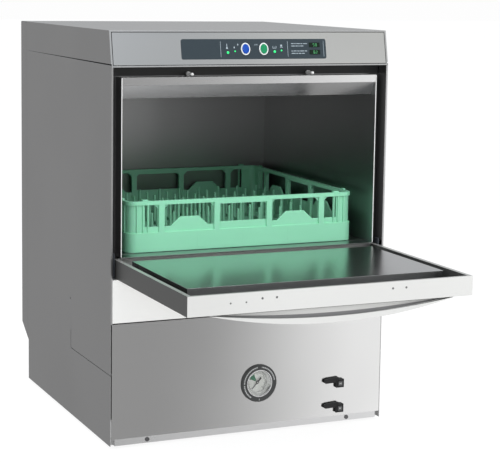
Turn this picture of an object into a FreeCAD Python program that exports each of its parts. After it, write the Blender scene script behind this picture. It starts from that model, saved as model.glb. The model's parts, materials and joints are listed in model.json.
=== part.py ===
"""Undercounter commercial dishwasher, 500 mm rack, door open and rack in the chamber.

Millimetres, +Z up.  Everything is drawn with y = 0 on the cabinet's front plane, x = 0 on its
centre line and z = 0 on the ground.  save() then moves it back to front by FRONT_Y, so that the
origin is the middle of the footprint of the machine with its door open.
"""
import FreeCAD, Part
import math
import os

V = FreeCAD.Vector

# ---- driving dimensions -------------------------------------------------------------------
CASE_W = 600.0            # cabinet width
CASE_H = 820.0            # ground to hood top
CASE_D = 625.0            # front plane to the back of the rear cover
SIDE_D = 573.0            # front plane to the back of the base
REAR_SEAM_Y = 580.0       # where the side panels meet the rear cover
BASE_Z = 6.0              # ground to the underside of the base, on its screwed-in feet
SHEET = 1.2               # cover sheet
TUB_SHEET = 1.5           # wash chamber, tank and base sheet
GAP = 0.3                 # gap between covers
FRONT_SEAM = 2.6          # the hood's seam opens to this at the front

FASCIA_Z = 750.0          # lower edge of the control fascia
HOOD_SEAM_Z = 756.0       # lower edge of the hood's side skirts
LEAN = 14.0               # how far the fascia leans back at its top
PANEL_BOTTOM = 19.0       # access panel
PANEL_TOP = 250.0
STRIP_BOTTOM, STRIP_TOP = 252.2, 338.0   # the fixed strip under the door
EDGE = 4.0                # width of the side panels' front edge

DOOR_T = 37.0             # door thickness over its rim
DOOR_W = 574.8
DOOR_REACH = 369.0        # front plane to the tip of the open door
RIM_W = 8.4               # width of the folded rim at the sides
TIP_RIM_W = 6.0           # the same at the tip
PLUG_HALF = 262.0         # half width of the liner's raised middle

TUB_HALF = 277.0          # half width of the wash chamber, outside
TUB_FRONT = 6.0           # front edge of the chamber's neck
RECESS = 40.0             # depth of the recess that the closed door fills
TUB_BACK = 555.0
TUB_FLOOR = 300.0
TUB_TOP = 736.0
SILL_Z = 380.0            # top of the neck's lower lip and of the rack guides
RAIL_TOP, RAIL_NOSE, RAIL_BOTTOM = 730.0, 715.0, 688.0

TANK_HALF, TANK_Y0, TANK_Y1, TANK_Z = 178.0, 112.0, 478.0, 160.0
ARM_Y = 297.0             # axis of the spray arms

RACK_W, RACK_H = 500.0, 102.0
RACK_CORNER = 20.0        # radius of its upright corners
RACK_BAND, RACK_SILL = 39.0, 50.0  # top of the proud lower band, and the windows' lower edge
RACK_RAIL = 8.0           # depth of the top rail
RACK_POSTS = (58.0, 177.0)         # the posts between the windows, out from the middle
PEG_TOP = 66.0
RACK_Y0 = 46.0
RACK_Z = SILL_Z + 0.5

FASCIA_HALF, FASCIA_UP = 295.0, 31.6     # half width of the fascia, and half height up its slope
PANEL_X, PANEL_UP, PANEL_W, PANEL_H = 2.0, -1.5, 314.0, 40.0
BUTTON_X = (-19.0, 20.5)
BUTTON_A, BUTTON_B = 7.3, 9.6      # half axes of a button's oval
BEZEL_A, BEZEL_B = 9.8, 12.2
GAUGE_X, GAUGE_Z, GAUGE_R = 18.5, 105.3, 38.8
VALVE_X, VALVE_Z = 202.0, (89.0, 36.0)
VALVE_NUT_R = 12.0

# ---- worked out from them -----------------------------------------------------------------
HALF = CASE_W / 2
INNER = HALF - SHEET                       # inside face of the side panels
HINGE_R = DOOR_T / 2
HINGE_Y = HINGE_R                          # closed door flush with the front plane
HINGE_Z = 358.0
DOOR_HALF = DOOR_W / 2
DOOR_BOTTOM, DOOR_TOP = HINGE_Z - HINGE_R, HINGE_Z + HINGE_R
LEAN_ANGLE = math.degrees(math.atan2(LEAN, CASE_H - FASCIA_Z))
FRONT_Y = -(CASE_D - DOOR_REACH) / 2       # the front plane in the part's own frame
RACK_Y1 = RACK_Y0 + RACK_W


# ---- helpers --------------------------------------------------------------------------------
def box(x0, x1, y0, y1, z0, z1):
    return Part.makeBox(x1 - x0, y1 - y0, z1 - z0, V(x0, y0, z0))


def rod(start, direction, radius, length):
    return Part.makeCylinder(radius, length, V(*start), V(*direction))


def tube(start, direction, outer, inner, length):
    return rod(start, direction, outer, length).cut(rod(start, direction, inner, length))


def prism(points, direction):
    """Closed outline, swept along direction."""
    return Part.Face(Part.makePolygon([V(*p) for p in points + points[:1]])).extrude(V(*direction))


def side_prism(outline_yz, x0, x1):
    return prism([(x0, y, z) for y, z in outline_yz], (x1 - x0, 0, 0))


def front_prism(outline_xz, y0, y1):
    return prism([(x, y0, z) for x, z in outline_xz], (0, y1 - y0, 0))


def both_sides(shape):
    return [shape, shape.mirror(V(0, 0, 0), V(1, 0, 0))]


def join(shapes):
    return shapes[0].fuse(shapes[1:]).removeSplitter() if len(shapes) > 1 else shapes[0]


def cut_all(shape, tools):
    return shape.cut(Part.makeCompound(tools)) if tools else shape


def pipe(points, outer, inner=0):
    """Round pipe along straight runs, with ball corners."""
    def solid(radius):
        pieces = []
        for a, b in zip(points, points[1:]):
            run = V(*b) - V(*a)
            pieces.append(Part.makeCylinder(radius, run.Length, V(*a), run))
        pieces += [Part.makeSphere(radius, V(*p)) for p in points[1:-1]]
        return join(pieces)
    return solid(outer).cut(solid(inner)) if inner else solid(outer)


def save(name, *shapes):
    """One solid, or a group of separate solids, in the part's own frame."""
    solids = [s for shape in shapes for s in shape.Solids]
    whole = solids[0] if len(solids) == 1 else Part.makeCompound(solids)
    whole = whole.copy()
    whole.translate(V(0, FRONT_Y, 0))
    if not whole.isValid():
        raise ValueError(name + " isn't a valid solid")
    whole.exportStep("parts/" + name + ".step")
    print(name, len(solids), round(whole.Volume / 1000.0, 1), "cm3")


# ---- cabinet --------------------------------------------------------------------------------
FOOT_PLACES = [(x, y) for x in (-255.0, 255.0) for y in (45.0, 520.0)]
BASE_TOP = 60.0
BASE_HALF = 290.0         # the base strip stops short of the corners
BASE_SCREW_X, BASE_SCREW_Z = 222.0, 13.0
BACK_FITTINGS = {"inlet": (215.0, 77.0, 13.2), "drain": (120.0, 77.0, 14.0), "gland": (-215.0, 77.0, 12.0)}
INLET_LENGTH, DRAIN_LENGTH = 22.0, 31.0


def base_frame():
    tray = box(-INNER, INNER, SHEET, SIDE_D - SHEET, BASE_Z, BASE_TOP)
    hollow = box(-INNER + TUB_SHEET, INNER - TUB_SHEET, SHEET + TUB_SHEET, SIDE_D - SHEET - TUB_SHEET,
                 BASE_Z + TUB_SHEET, BASE_TOP)
    holes = [rod((x, y, BASE_Z), (0, 0, 1), 5.25, TUB_SHEET) for x, y in FOOT_PLACES]
    holes += [rod((s * BASE_SCREW_X, 0, BASE_SCREW_Z), (0, 1, 0), 2.6, 4) for s in (-1, 1)]
    holes += [rod((x, 150, BASE_Z), (0, 0, 1), 30, TUB_SHEET) for x in (-120, 120)]
    holes.append(rod((VALVE_X, 0, VALVE_Z[1]), (0, 1, 0), VALVE_NUT_R + 1, 4))
    holes += both_sides(box(BASE_HALF, HALF, 0, 10, BASE_Z - 1, PANEL_BOTTOM + 1))
    returns = both_sides(box(BASE_HALF - TUB_SHEET, BASE_HALF, SHEET, 10, BASE_Z, PANEL_BOTTOM + 1))
    returns += both_sides(box(BASE_HALF - TUB_SHEET, INNER, 10, 10 + TUB_SHEET, BASE_Z, PANEL_BOTTOM + 1))
    save("base_frame", join([cut_all(tray.cut(hollow), holes)] + returns))


def adjustable_feet():
    feet = []
    for x, y in FOOT_PLACES:
        pad = rod((x, y, 0), (0, 0, 1), 21, BASE_Z)
        stem = rod((x, y, BASE_Z), (0, 0, 1), 5, 34)
        nut = rod((x, y, BASE_Z + TUB_SHEET), (0, 0, 1), 9, 6)
        feet.append(join([pad, stem, nut]))
    save("adjustable_feet", *feet)


def rear_slope(y):
    """Height of the sloping underside of the rear bulge."""
    return 96.0 + (y - SIDE_D) * 33.0 / (CASE_D - SIDE_D)


def side_panels():
    outline = [(0, BASE_Z), (SIDE_D, BASE_Z), (SIDE_D, rear_slope(SIDE_D)),
               (REAR_SEAM_Y, rear_slope(REAR_SEAM_Y)), (REAR_SEAM_Y, HOOD_SEAM_Z - GAP),
               (0, HOOD_SEAM_Z - FRONT_SEAM)]
    sheet = side_prism(outline, INNER, HALF)
    front_edge = box(HALF - EDGE, INNER, 0, SHEET, PANEL_TOP + GAP, FASCIA_Z - GAP)
    rear_edge = box(HALF - 14, INNER, SIDE_D - SHEET, SIDE_D, BASE_Z, rear_slope(SIDE_D))
    slit = 1.2
    seam_y, seam_z = 253.0, 148.0
    slits = [box(INNER - 1, HALF + 1, -1, seam_y + slit, seam_z, seam_z + slit),
             box(INNER - 1, HALF + 1, seam_y, seam_y + 2.6, seam_z, seam_z + 40),
             box(INNER - 1, HALF + 1, seam_y, seam_y + slit, seam_z + 39, seam_z + 80),
             rod((INNER - 1, seam_y + 5, 253), (1, 0, 0), 2.6, 4)]
    right, left = both_sides(cut_all(join([sheet, front_edge, rear_edge]), slits))
    save("right_side_panel", right)
    save("left_side_panel", left)


def back_panel():
    plate = box(-INNER + 0.1, INNER - 0.1, SIDE_D - 2 * SHEET - 0.2, SIDE_D - SHEET - 0.2,
                BASE_TOP + GAP, TUB_TOP)
    holes = [rod((x, SIDE_D - 10, z), (0, 1, 0), r + 0.5, 20) for x, z, r in BACK_FITTINGS.values()]
    holes.append(rod((PUMP_X, SIDE_D - 10, PORT_Z), (0, 1, 0), RISER_R + 2, 20))
    save("back_panel", cut_all(plate, holes))


def rear_cover():
    """Rear bulge, with tongues that lie behind the seams to the side panels."""
    y0, z_top = REAR_SEAM_Y + 2 * GAP, CASE_H - SHEET - GAP
    outer = side_prism([(y0, rear_slope(y0)), (CASE_D, rear_slope(CASE_D)), (CASE_D, z_top), (y0, z_top)],
                       -HALF, HALF)
    y1, y2 = y0 - 10, CASE_D - SHEET
    hollow = side_prism([(y1, rear_slope(y1) + 1.4), (y2, rear_slope(y2) + 1.4), (y2, z_top + 5),
                         (y1, z_top + 5)], -INNER, INNER)
    lip = side_prism([(SIDE_D + GAP, rear_slope(SIDE_D)), (y0, rear_slope(y0)), (y0, rear_slope(y0) + 1.4),
                      (SIDE_D + GAP, rear_slope(SIDE_D) + 1.4)], -INNER + 0.2, INNER - 0.2)
    tongue = box(INNER - SHEET, INNER, y0 - 8, y0 + 6, rear_slope(y0) + 2, z_top - 1)
    slots = [box(x - 35, x + 35, CASE_D - 5, CASE_D + 1, z, z + 5)
             for x in (-170, 170) for z in [640 + 14 * i for i in range(8)]]
    save("rear_cover", cut_all(join([outer.cut(hollow), lip] + both_sides(tongue)), slots))


def top_hood():
    """Top and side skirts in one sheet, with a narrow frame round the fascia; a tongue behind each
    skirt's seam keeps it dark."""
    top = box(-HALF, HALF, LEAN, CASE_D, CASE_H - SHEET, CASE_H)
    skirt = side_prism([(LEAN * 0.1, HOOD_SEAM_Z), (REAR_SEAM_Y, HOOD_SEAM_Z), (REAR_SEAM_Y, CASE_H - SHEET),
                        (LEAN, CASE_H - SHEET)], INNER, HALF)
    half_slope = math.hypot(LEAN, CASE_H - FASCIA_Z) / 2
    frame = Part.makeBox(2 * HALF, 2 * half_slope, SHEET, V(-HALF, -half_slope, -SHEET))
    margin = 1.3
    window = Part.makeBox(2 * (FASCIA_HALF + margin), 2 * (FASCIA_UP + margin), 3,
                          V(-FASCIA_HALF - margin, -FASCIA_UP - margin, -2))
    frame = on_fascia(frame.cut(window), 0)
    tongue = box(INNER - SHEET, INNER, 3, SIDE_D - 1.5, FASCIA_Z + 0.5, HOOD_SEAM_Z + 8)
    corners = both_sides(box(INNER - 0.3, HALF + 1, -1, 5, FASCIA_Z - 2, HOOD_SEAM_Z))
    above = box(-HALF - 1, HALF + 1, -5, 30, CASE_H, CASE_H + 5)
    save("top_hood", cut_all(join([top, frame] + both_sides(skirt) + both_sides(tongue)), corners + [above]))


def on_fascia(shape, x, up=0.0):
    """From the fascia's own plane (z outwards, y up its slope from its middle) into the machine."""
    placed = shape.copy()
    placed.translate(V(0, up, 0))
    placed.rotate(V(0, 0, 0), V(1, 0, 0), 90 - LEAN_ANGLE)
    placed.translate(V(x, LEAN / 2, (FASCIA_Z + CASE_H) / 2))
    return placed


def on_panel(shape, x):
    """The same from the middle of the control overlay, which sits a little below the fascia's."""
    return on_fascia(shape, x, PANEL_UP)


def oval(a, b, z0, z1):
    wire = Part.Wire(Part.Ellipse(V(0, b, z0), V(a, 0, z0), V(0, 0, z0)).toShape())
    return Part.Face(wire).extrude(V(0, 0, z1 - z0))


def round_plate(width, height, radius, z0, z1):
    plate = Part.makeBox(width, height, z1 - z0, V(-width / 2, -height / 2, z0))
    upright = [e for e in plate.Edges if abs(e.Vertexes[0].Z - e.Vertexes[1].Z) > 1e-6]
    return plate.makeFillet(radius, upright)


OVERLAY_T = 0.8
# x, up the slope, radius
LIGHTS = [(-57, -7.0, 2.6), (-41.5, -4.4, 1.6), (44.5, -5.5, 2.6), (59.5, -3.4, 1.6)]
DISPLAYS = [(133, 7.8), (133.5, -7.0)]


def fascia():
    """Tray-shaped plate in the hood's frame, folded back along its top and bottom."""
    t = SHEET
    tray = Part.makeBox(2 * FASCIA_HALF, 2 * FASCIA_UP, 14, V(-FASCIA_HALF, -FASCIA_UP, -14))
    inside = Part.makeBox(2 * FASCIA_HALF + 2, 2 * (FASCIA_UP - t), 14,
                          V(-FASCIA_HALF - 1, -FASCIA_UP + t, -14 - t))
    plate = on_fascia(tray.cut(inside), 0)
    holes = [on_panel(oval(BUTTON_A + 0.3, BUTTON_B + 0.3, -6, 3), x) for x in BUTTON_X]
    save("control_fascia", cut_all(plate, holes))


def control_overlay():
    plate = on_panel(round_plate(PANEL_W, PANEL_H, 4, 0, OVERLAY_T), PANEL_X)
    holes = [on_panel(oval(BEZEL_A + 0.1, BEZEL_B + 0.1, -1, 2), x) for x in BUTTON_X]
    save("control_overlay", cut_all(plate, holes))
    ring = oval(BEZEL_A, BEZEL_B, 0, 2.6).cut(oval(BUTTON_A + 0.3, BUTTON_B + 0.3, -1, 3))
    save("button_bezels", *[on_panel(ring, x) for x in BUTTON_X])
    lights = [Part.makeCylinder(r, 0.6, V(0, y, OVERLAY_T)) for _, y, r in LIGHTS]
    save("indicator_lights", *[on_panel(s, x) for s, (x, _, _) in zip(lights, LIGHTS)])
    windows = []
    for x, y in DISPLAYS:
        window = round_plate(24, 9.5, 1, OVERLAY_T, OVERLAY_T + 0.5)
        window.translate(V(0, y, 0))
        windows.append(on_panel(window, x))
    save("display_windows", *windows)


def buttons():
    cap = oval(BUTTON_A, BUTTON_B, -8, 3.6)
    rim = [e for e in cap.Edges if abs(e.BoundBox.ZMin - 3.6) < 1e-6 and e.BoundBox.ZLength < 1e-6]
    cap = cap.makeFillet(0.9, rim)
    for name, x in zip(("wash_button", "power_button"), BUTTON_X):
        save(name, on_panel(cap, x))


def control_board():
    board = Part.makeBox(290, 34, 1.6, V(-145, -17, -19.6))
    parts = [board]
    for x in [x - PANEL_X for x in BUTTON_X]:
        parts.append(Part.makeBox(12, 12, 6, V(x - 6, -6, -18)))
    for x in (-130, -105, -80, 60, 85):
        parts.append(Part.makeBox(19, 15, 12, V(x, -8, -31.6)))
    save("control_board", on_panel(join(parts), PANEL_X))


# ---- wash chamber ---------------------------------------------------------------------------
def wash_chamber():
    t = TUB_SHEET
    outer = box(-TUB_HALF, TUB_HALF, RECESS, TUB_BACK, TUB_FLOOR, TUB_TOP)
    inner = box(-TUB_HALF + t, TUB_HALF - t, RECESS + t, TUB_BACK - t, TUB_FLOOR + t, TUB_TOP - t)
    frame = box(-INNER + 1, INNER - 1, RECESS, RECESS + t, STRIP_TOP + GAP, FASCIA_Z - 1)
    neck = box(-TUB_HALF, TUB_HALF, TUB_FRONT, RECESS + t, SILL_Z - t, RAIL_TOP)
    mouth = box(-TUB_HALF + t, TUB_HALF - t, 0, RECESS + 2 * t, SILL_Z, RAIL_BOTTOM + 2)
    neck_in = box(-TUB_HALF + t, TUB_HALF - t, 0, RECESS, SILL_Z, RAIL_TOP + 1)
    tank_mouth = box(-TANK_HALF, TANK_HALF, TANK_Y0, TANK_Y1, TUB_FLOOR - 1, TUB_FLOOR + 5)
    upper_feed = rod((0, ARM_Y, TUB_TOP - 5), (0, 0, 1), 12.5, 10)
    body = join([outer.cut(inner), frame, neck]).cut(mouth).cut(neck_in)
    save("wash_chamber", body.cut(tank_mouth).cut(upper_feed))


def drip_rail():
    t, back = TUB_SHEET, RECESS - 0.3
    outer = [(TUB_FRONT, RAIL_NOSE), (TUB_FRONT, RAIL_TOP), (back, RAIL_TOP), (back, RAIL_BOTTOM),
             (back - 12, RAIL_BOTTOM)]
    inner = [(TUB_FRONT + t, RAIL_NOSE + 0.6), (TUB_FRONT + t, RAIL_TOP - t), (back - t, RAIL_TOP - t),
             (back - t, RAIL_BOTTOM + t), (back - 11.4, RAIL_BOTTOM + t)]
    half = TUB_HALF - TUB_SHEET - 0.2
    save("drip_rail", side_prism(outer, -half, half).cut(side_prism(inner, -half - 1, half + 1)))


STUD_X, STUD_Z, STUD_Y = (-129.0, 133.0), 734.6, 13.0


def catch_studs():
    """Threaded studs that the closed door's tip snaps over, each with a ball end and a nut."""
    studs = []
    for x in STUD_X:
        pin = rod((x, STUD_Y, STUD_Z), (0, 1, 0), 2.9, RECESS - STUD_Y)
        studs.append(join([pin, Part.makeSphere(3.5, V(x, STUD_Y, STUD_Z))]))
    save("catch_studs", *studs)


def wash_tank():
    t, z1 = TUB_SHEET, TUB_FLOOR - 0.1
    shell = box(-TANK_HALF, TANK_HALF, TANK_Y0, TANK_Y1, TANK_Z, z1)
    shell = shell.cut(box(-TANK_HALF + t, TANK_HALF - t, TANK_Y0 + t, TANK_Y1 - t, TANK_Z + t, z1))
    flange = box(-TANK_HALF - 12, TANK_HALF + 12, TANK_Y0 - 12, TANK_Y1 + 12, z1 - t, z1)
    flange = flange.cut(box(-TANK_HALF, TANK_HALF, TANK_Y0, TANK_Y1, z1 - 5, z1 + 1))
    holes = [rod((0, ARM_Y, TANK_Z - 1), (0, 0, 1), 16.2, 5),
             rod((-110, 180, TANK_Z - 1), (0, 0, 1), 14.2, 5),
             rod((SUCTION_X, ARM_Y, TANK_Z - 1), (0, 0, 1), SUCTION_R + 0.2, 5)]
    holes += [rod((x, TANK_Y0 - 1, 190), (0, 1, 0), 5.2, 5) for x in (70, 130)]
    save("wash_tank", cut_all(join([shell, flange]), holes))


BASKET_X, BASKET_Y = 100.0, 180.0


def tank_filters():
    z0, t = TUB_FLOOR + TUB_SHEET + 0.2, 1.5
    plates = []
    for x0, x1 in ((-190.0, -0.5), (0.5, 190.0)):
        plate = box(x0, x1, 100, 490, z0, z0 + t)
        slots = [box(x0 + 14, x1 - 14, y, y + 4, z0 - 1, z0 + 3)
                 for y in [112 + 13 * i for i in range(29)]
                 if abs(y + 2 - ARM_Y) > 34 and abs(y + 2 - BASKET_Y) > 52]
        plates.append(cut_all(plate, slots + [rod((0, ARM_Y, z0 - 1), (0, 0, 1), 18, 5),
                                              rod((BASKET_X, BASKET_Y, z0 - 1), (0, 0, 1), 40.5, 5),
                                              rod((-110, 180, z0 - 1), (0, 0, 1), 18, 5)]))
    save("tank_filters", *plates)


def filter_basket():
    z1 = TUB_FLOOR + TUB_SHEET + 1.8
    at = (BASKET_X, BASKET_Y, 238)
    cup = rod(at, (0, 0, 1), 40, z1 + 1.5 - 238).cut(rod((BASKET_X, BASKET_Y, 240), (0, 0, 1), 38.5, 90))
    rim = tube((BASKET_X, BASKET_Y, z1), (0, 0, 1), 47, 38.5, 1.5)
    handle = box(BASKET_X - 39, BASKET_X + 39, BASKET_Y - 3, BASKET_Y + 3, z1 + 1.5 - 4, z1 + 1.5)
    slots = []
    for i in range(18):
        slot = box(BASKET_X + 30, BASKET_X + 45, BASKET_Y - 2, BASKET_Y + 2, 248, 290)
        slot.rotate(V(BASKET_X, BASKET_Y, 0), V(0, 0, 1), 20 * i)
        slots.append(slot)
    save("filter_basket", cut_all(join([cup, rim, handle]), slots))


def overflow_pipe():
    stem = tube((-110, 180, TANK_Z - 12), (0, 0, 1), 14, 11, 145)
    cap = rod((-110, 180, TANK_Z + 133), (0, 0, 1), 16, 4)
    save("overflow_pipe", join([stem, cap]))


def heating_element():
    z = 190.0
    runs = [(70, TANK_Y0 - 14, z), (70, 430, z), (130, 430, z), (130, TANK_Y0 - 14, z)]
    flange = box(54, 146, TANK_Y0 - 6, TANK_Y0 - 0.1, z - 14, z + 14)
    save("heating_element", join([pipe(runs, 5.0), flange]))


# ---- spray arms -----------------------------------------------------------------------------
SPINDLE_R = 8.0
NUT_R = 13.0
ARM_CLEARANCE = 0.08


def arm(z0, height, half_length, width, face, turn):
    """Two-bladed hollow arm turning about the spindle; its jets point up (face 1) or down (-1)."""
    blade = box(-half_length, half_length, -width / 2, width / 2, z0, z0 + height)
    ends = [e for e in blade.Edges if abs(e.Vertexes[0].Z - e.Vertexes[1].Z) > 1e-6]
    blade = blade.makeFillet(width * 0.45, ends)
    hub = rod((0, 0, z0 - 0.5), (0, 0, 1), width * 0.62, height + 1)
    hollow = [box(s * 22 - (half_length - 30 if s < 0 else 0), s * 22 + (half_length - 30 if s > 0 else 0),
                  -width / 2 + 2.5, width / 2 - 2.5, z0 + 2, z0 + height - 2) for s in (-1, 1)]
    jets = []
    for s in (-1, 1):
        for i in range(5):
            x = s * (40 + i * (half_length - 62) / 4.0)
            jets.append(box(x - 6, x + 6, -1.5, 1.5, *((z0 + height - 3, z0 + height + 1) if face > 0
                                                       else (z0 - 1, z0 + 3))))
    bore = rod((0, 0, z0 - 2), (0, 0, 1), SPINDLE_R + ARM_CLEARANCE, height + 4)
    whole = cut_all(join([blade, hub]), hollow + jets + [bore])
    whole.rotate(V(0, 0, 0), V(0, 0, 1), turn)
    whole.translate(V(0, ARM_Y, 0))
    return whole


LOWER = {"post": (TANK_Z - 10, 334.0), "wash": (335.0, 15.0), "rinse": (353.0, 10.0), "cap": (365.0, 9.0)}
UPPER = {"post": (717.0, TUB_TOP + 20), "wash": (701.0, 14.0), "rinse": (688.5, 9.0), "cap": (677.0, 9.0)}


def arm_supports():
    z0, z1 = LOWER["post"]
    cap = LOWER["cap"][0] + LOWER["cap"][1]
    post = rod((0, ARM_Y, z0), (0, 0, 1), 16, z1 - z0)
    lower_post = join([post, rod((0, ARM_Y, z1), (0, 0, 1), SPINDLE_R, cap - z1 - 5)])
    lower_nut = rod((0, ARM_Y, LOWER["cap"][0]), (0, 0, 1), NUT_R, cap - LOWER["cap"][0])
    lower_nut = lower_nut.cut(rod((0, ARM_Y, LOWER["cap"][0]), (0, 0, 1), SPINDLE_R, 4))
    z0, z1 = UPPER["post"]
    bottom = UPPER["cap"][0]
    post = rod((0, ARM_Y, z0), (0, 0, 1), 12.3, z1 - z0)
    collar = rod((0, ARM_Y, z0), (0, 0, 1), 20, TUB_TOP - TUB_SHEET - 0.1 - z0)
    spindle = rod((0, ARM_Y, bottom + 5), (0, 0, 1), SPINDLE_R, z0 - bottom - 5)
    save("arm_posts", lower_post, join([post, collar, spindle]))
    upper_nut = rod((0, ARM_Y, bottom), (0, 0, 1), NUT_R, UPPER["cap"][1])
    upper_nut = upper_nut.cut(rod((0, ARM_Y, bottom + 5), (0, 0, 1), SPINDLE_R, 4))
    save("arm_nuts", lower_nut, upper_nut)


def spray_arms():
    save("lower_wash_arm", arm(*LOWER["wash"], 222, 36, 1, 28))
    save("lower_rinse_arm", arm(*LOWER["rinse"], 195, 20, 1, -24))
    save("upper_wash_arm", arm(*UPPER["wash"], 222, 36, -1, -20))
    save("upper_rinse_arm", arm(*UPPER["rinse"], 195, 20, -1, 40))


# ---- hydraulics under the chamber -----------------------------------------------------------
PUMP_X, PUMP_Y, PUMP_Z = -150.0, ARM_Y, 82.0
SUCTION_X, SUCTION_R = PUMP_X, 20.0
RISER_R, RISER_Y, RISER_TOP = 12.0, 586.0, 776.0
PORT_Z, PORT_LENGTH = 126.0, 62.0


def wash_pump():
    r, w = 58.0, 42.0
    volute = rod((PUMP_X - w / 2, PUMP_Y, PUMP_Z), (1, 0, 0), r, w)
    suction = rod((SUCTION_X, PUMP_Y, PUMP_Z), (0, 0, 1), SUCTION_R, TANK_Z + 4 - PUMP_Z)
    port = rod((PUMP_X, PUMP_Y, PORT_Z), (0, 1, 0), RISER_R, PORT_LENGTH)
    volute = join([volute, suction, port])
    throat = rod((SUCTION_X, PUMP_Y, PUMP_Z), (0, 0, 1), SUCTION_R - 3, TANK_Z + 5 - PUMP_Z)
    room = rod((PUMP_X - w / 2 + 4, PUMP_Y, PUMP_Z), (1, 0, 0), r - 5, w - 8)
    shaft_hole = rod((PUMP_X, PUMP_Y, PUMP_Z), (1, 0, 0), 7.05, 60)
    save("pump_housing", cut_all(volute, [room, throat, shaft_hole]))
    x0 = PUMP_X + w / 2 + 0.1
    case = rod((x0, PUMP_Y, PUMP_Z), (1, 0, 0), 50, 165)
    fins = [tube((x0 + 15 + 12 * i, PUMP_Y, PUMP_Z), (1, 0, 0), 54, 49, 4) for i in range(11)]
    feet = [box(x0 + 30, x0 + 135, y - 12, y + 12, BASE_Z + TUB_SHEET, PUMP_Z - 30)
            for y in (PUMP_Y - 40, PUMP_Y + 40)]
    bore = rod((x0 - 1, PUMP_Y, PUMP_Z), (1, 0, 0), 7.05, 120)
    save("pump_motor", join([case] + fins + feet).cut(bore))
    xi = PUMP_X - w / 2 + 8
    disc = rod((xi, PUMP_Y, PUMP_Z), (1, 0, 0), 46, 4)
    hub = rod((xi, PUMP_Y, PUMP_Z), (1, 0, 0), 14, 24)
    shaft = rod((xi, PUMP_Y, PUMP_Z), (1, 0, 0), 7.0, 120)
    vanes = []
    for i in range(6):
        vane = box(xi + 3, xi + 20, PUMP_Y - 2, PUMP_Y + 2, PUMP_Z + 10, PUMP_Z + 45)
        vane.rotate(V(xi, PUMP_Y, PUMP_Z), V(1, 0, 0), 60 * i)
        vanes.append(vane)
    save("pump_impeller", join([disc, hub, shaft] + vanes))


def riser_pipes():
    """From the pump to the rear bulge and up it, then over the chamber to the upper arms."""
    upright = pipe([(PUMP_X, PUMP_Y + PORT_LENGTH + 0.1, PORT_Z), (PUMP_X, RISER_Y, PORT_Z),
                    (PUMP_X, RISER_Y, RISER_TOP - RISER_R - 2)], RISER_R)
    over = pipe([(PUMP_X, RISER_Y, RISER_TOP - RISER_R - 1.9), (PUMP_X, RISER_Y, RISER_TOP),
                 (PUMP_X, ARM_Y, RISER_TOP), (0, ARM_Y, RISER_TOP), (0, ARM_Y, UPPER["post"][1])], RISER_R)
    save("riser_pipes", upright, over)


def boiler():
    x, z, r, y0, y1 = 205.0, 84.0, 56.0, 70.0, 440.0
    can = rod((x, y0, z), (0, 1, 0), r, y1 - y0)
    bands = [tube((x, y, z), (0, 1, 0), r + 2, r - 0.5, 14) for y in (y0 + 50, y1 - 64)]
    cradle = [box(x - 40, x + 40, y, y + 12, BASE_Z + TUB_SHEET, z - 30) for y in (y0 + 51, y1 - 63)]
    flange = rod((x, y0 - 8, z), (0, 1, 0), 34, 10)
    save("rinse_boiler", join([can, flange] + bands + cradle))


def back_fittings():
    """Water inlet, drain and cable gland; their free ends stand out behind the base."""
    x, z, r = BACK_FITTINGS["inlet"]
    neck = tube((x, 540, z), (0, 1, 0), r - 1.5, 8.5, SIDE_D - 540)
    stub = tube((x, SIDE_D, z), (0, 1, 0), r, 8.5, INLET_LENGTH)
    body = box(x - 19, x + 19, 500, 540, z - 18, z + 18)
    save("inlet_valve", join([body, rod((x, 520, z + 18), (0, 0, 1), 15, 30), neck, stub]))
    x, z, r = BACK_FITTINGS["drain"]
    inside = tube((x, 470, z), (0, 1, 0), r - 1, r - 3, SIDE_D - 470)
    flange = tube((x, SIDE_D - 12, z), (0, 1, 0), r + 5, r - 3, 8)
    spigot = tube((x, SIDE_D, z), (0, 1, 0), r, r - 3, DRAIN_LENGTH)
    save("drain_outlet", join([inside, flange, spigot]))
    x, z, r = BACK_FITTINGS["gland"]
    gland = [tube((x, SIDE_D - 14, z), (0, 1, 0), r, 6.5, 34)]
    for y in (SIDE_D - 10, SIDE_D):
        hexagon = [(x + 17 * math.cos(math.radians(60 * i)), z + 17 * math.sin(math.radians(60 * i)))
                   for i in range(6)]
        gland.append(front_prism(hexagon, y, y + 6).cut(rod((x, y - 1, z), (0, 1, 0), 6.5, 8)))
    save("cable_gland", join(gland))


def dosing_pumps():
    pumps = []
    for x in (-262.0, -212.0):
        case = box(x - 20, x + 20, 60, 105, 195, 240)
        head = rod((x, 48, 217), (0, 1, 0), 18, 12.5)
        pumps.append(join([case, head]))
    plate = box(-288, -190, 105, 107, 185, 250)
    save("dosing_pumps", join(pumps + [plate, box(-288, -190, 105, 150, 185, 187)]))


# ---- front, lower half ----------------------------------------------------------------------
def front_strip():
    half = HALF - EDGE - 0.2
    face = box(-half, half, 0, SHEET, STRIP_BOTTOM, STRIP_TOP)
    shelf = box(-half, half, 0, RECESS, STRIP_TOP - SHEET, STRIP_TOP)
    lip = box(-half, half, 0, 12, STRIP_BOTTOM, STRIP_BOTTOM + SHEET)
    save("front_strip", join([face, shelf, lip]))


def access_panel():
    """Lift-off front; its gap to the side panel is wider on the left."""
    left, right = -INNER + 2.0, INNER - 0.25
    face = box(left, right, 0, SHEET, PANEL_BOTTOM, PANEL_TOP)
    edges = [box(right - SHEET, right, 0, 12, BASE_TOP + 1, PANEL_TOP),
             box(left, left + SHEET, 0, 12, BASE_TOP + 1, PANEL_TOP),
             box(left, right, 0, 12, PANEL_TOP - SHEET, PANEL_TOP)]
    holes = [rod((GAUGE_X, -1, GAUGE_Z), (0, 1, 0), 31, 4)]
    holes += [rod((VALVE_X, -1, z), (0, 1, 0), 7, 4) for z in VALVE_Z]
    save("access_panel", cut_all(join([face] + edges), holes))


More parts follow.
